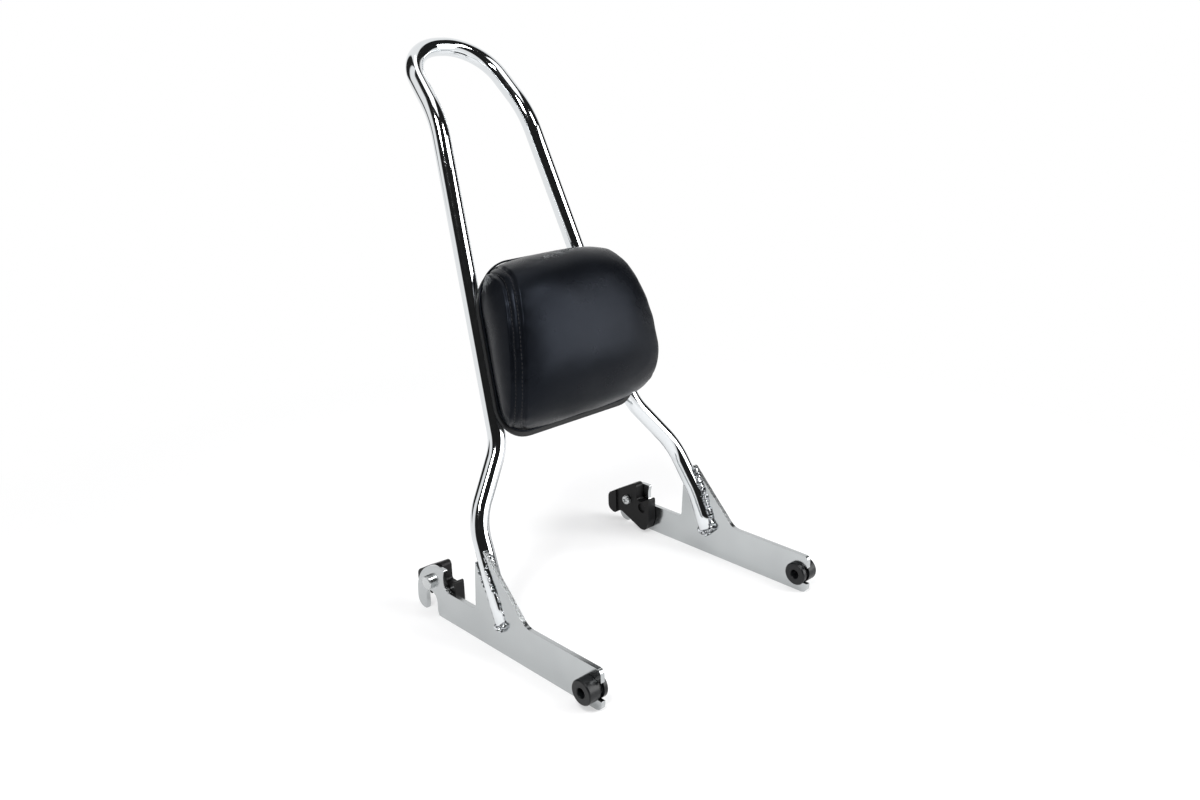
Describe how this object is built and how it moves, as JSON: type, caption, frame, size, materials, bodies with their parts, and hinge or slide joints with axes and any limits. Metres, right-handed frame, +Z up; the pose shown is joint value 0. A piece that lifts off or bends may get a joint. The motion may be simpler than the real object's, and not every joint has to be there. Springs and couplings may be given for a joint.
{
  "type": "motorbike sissy bar",
  "caption": "Detachable motorbike passenger backrest: bent chrome hoop on notched side plates with docking bushings, turning latch levers and a black padded rest.",
  "frame": {"origin": "middle of the part's width and length, on the surface that the side plates stand on", "axes": "+X to the rider's right seen from behind, -Y forward on the bike, +Z up"},
  "size_m": [0.2814, 0.3386, 0.4847],
  "materials": {
    "chrome_tube": "polished chrome plate",
    "plated_steel": "bright plated, satin",
    "weld": "rough weld bead under plating",
    "black_bushing": "semi-gloss black",
    "black_moulding": "fine-grained matt black",
    "bright_steel": "turned and plated",
    "black_leather": "smooth soft sheen",
    "foam": "open-cell foam",
    "tray_plastic": "moulded, fine grain",
    "brass": "turned"
  },
  "bodies": {
    "frame": {"hoop": "chrome_tube", "side_plate_left": "plated_steel", "weld_outer_left": "weld", "weld_inner_left": "weld", "docking_bushing_left": "black_bushing", "latch_pivot_left": "chrome_tube", "latch_washer_left": "bright_steel", "latch_screw_left": "bright_steel", "wave_washer_left": "bright_steel", "side_plate_right": "plated_steel", "weld_outer_right": "weld", "weld_inner_right": "weld", "docking_bushing_right": "black_bushing", "latch_pivot_right": "chrome_tube", "latch_washer_right": "bright_steel", "latch_screw_right": "bright_steel", "wave_washer_right": "bright_steel", "pad_cover": "black_leather", "pad_foam": "foam", "pad_tray": "tray_plastic", "strap_upper": "plated_steel", "strap_lower": "plated_steel", "pad_insert_1": "brass", "pad_screw_1": "bright_steel", "pad_insert_2": "brass", "pad_screw_2": "bright_steel", "pad_insert_3": "brass", "pad_screw_3": "bright_steel", "pad_insert_4": "brass", "pad_screw_4": "bright_steel"},
    "lever_left": {"latch_lever_left": "black_moulding"},
    "lever_right": {"latch_lever_right": "black_moulding"}
  },
  "joints": [
    {"name": "latch_left", "type": "hinge", "parent": "frame", "child": "lever_left", "pos_m": [-0.119, 0.04885, 0.0302], "axis": [1, 0, 0], "range_deg": [0, 55]},
    {"name": "latch_right", "type": "hinge", "parent": "frame", "child": "lever_right", "pos_m": [0.119, 0.04885, 0.0302], "axis": [1, 0, 0], "range_deg": [0, 55]}
  ]
}
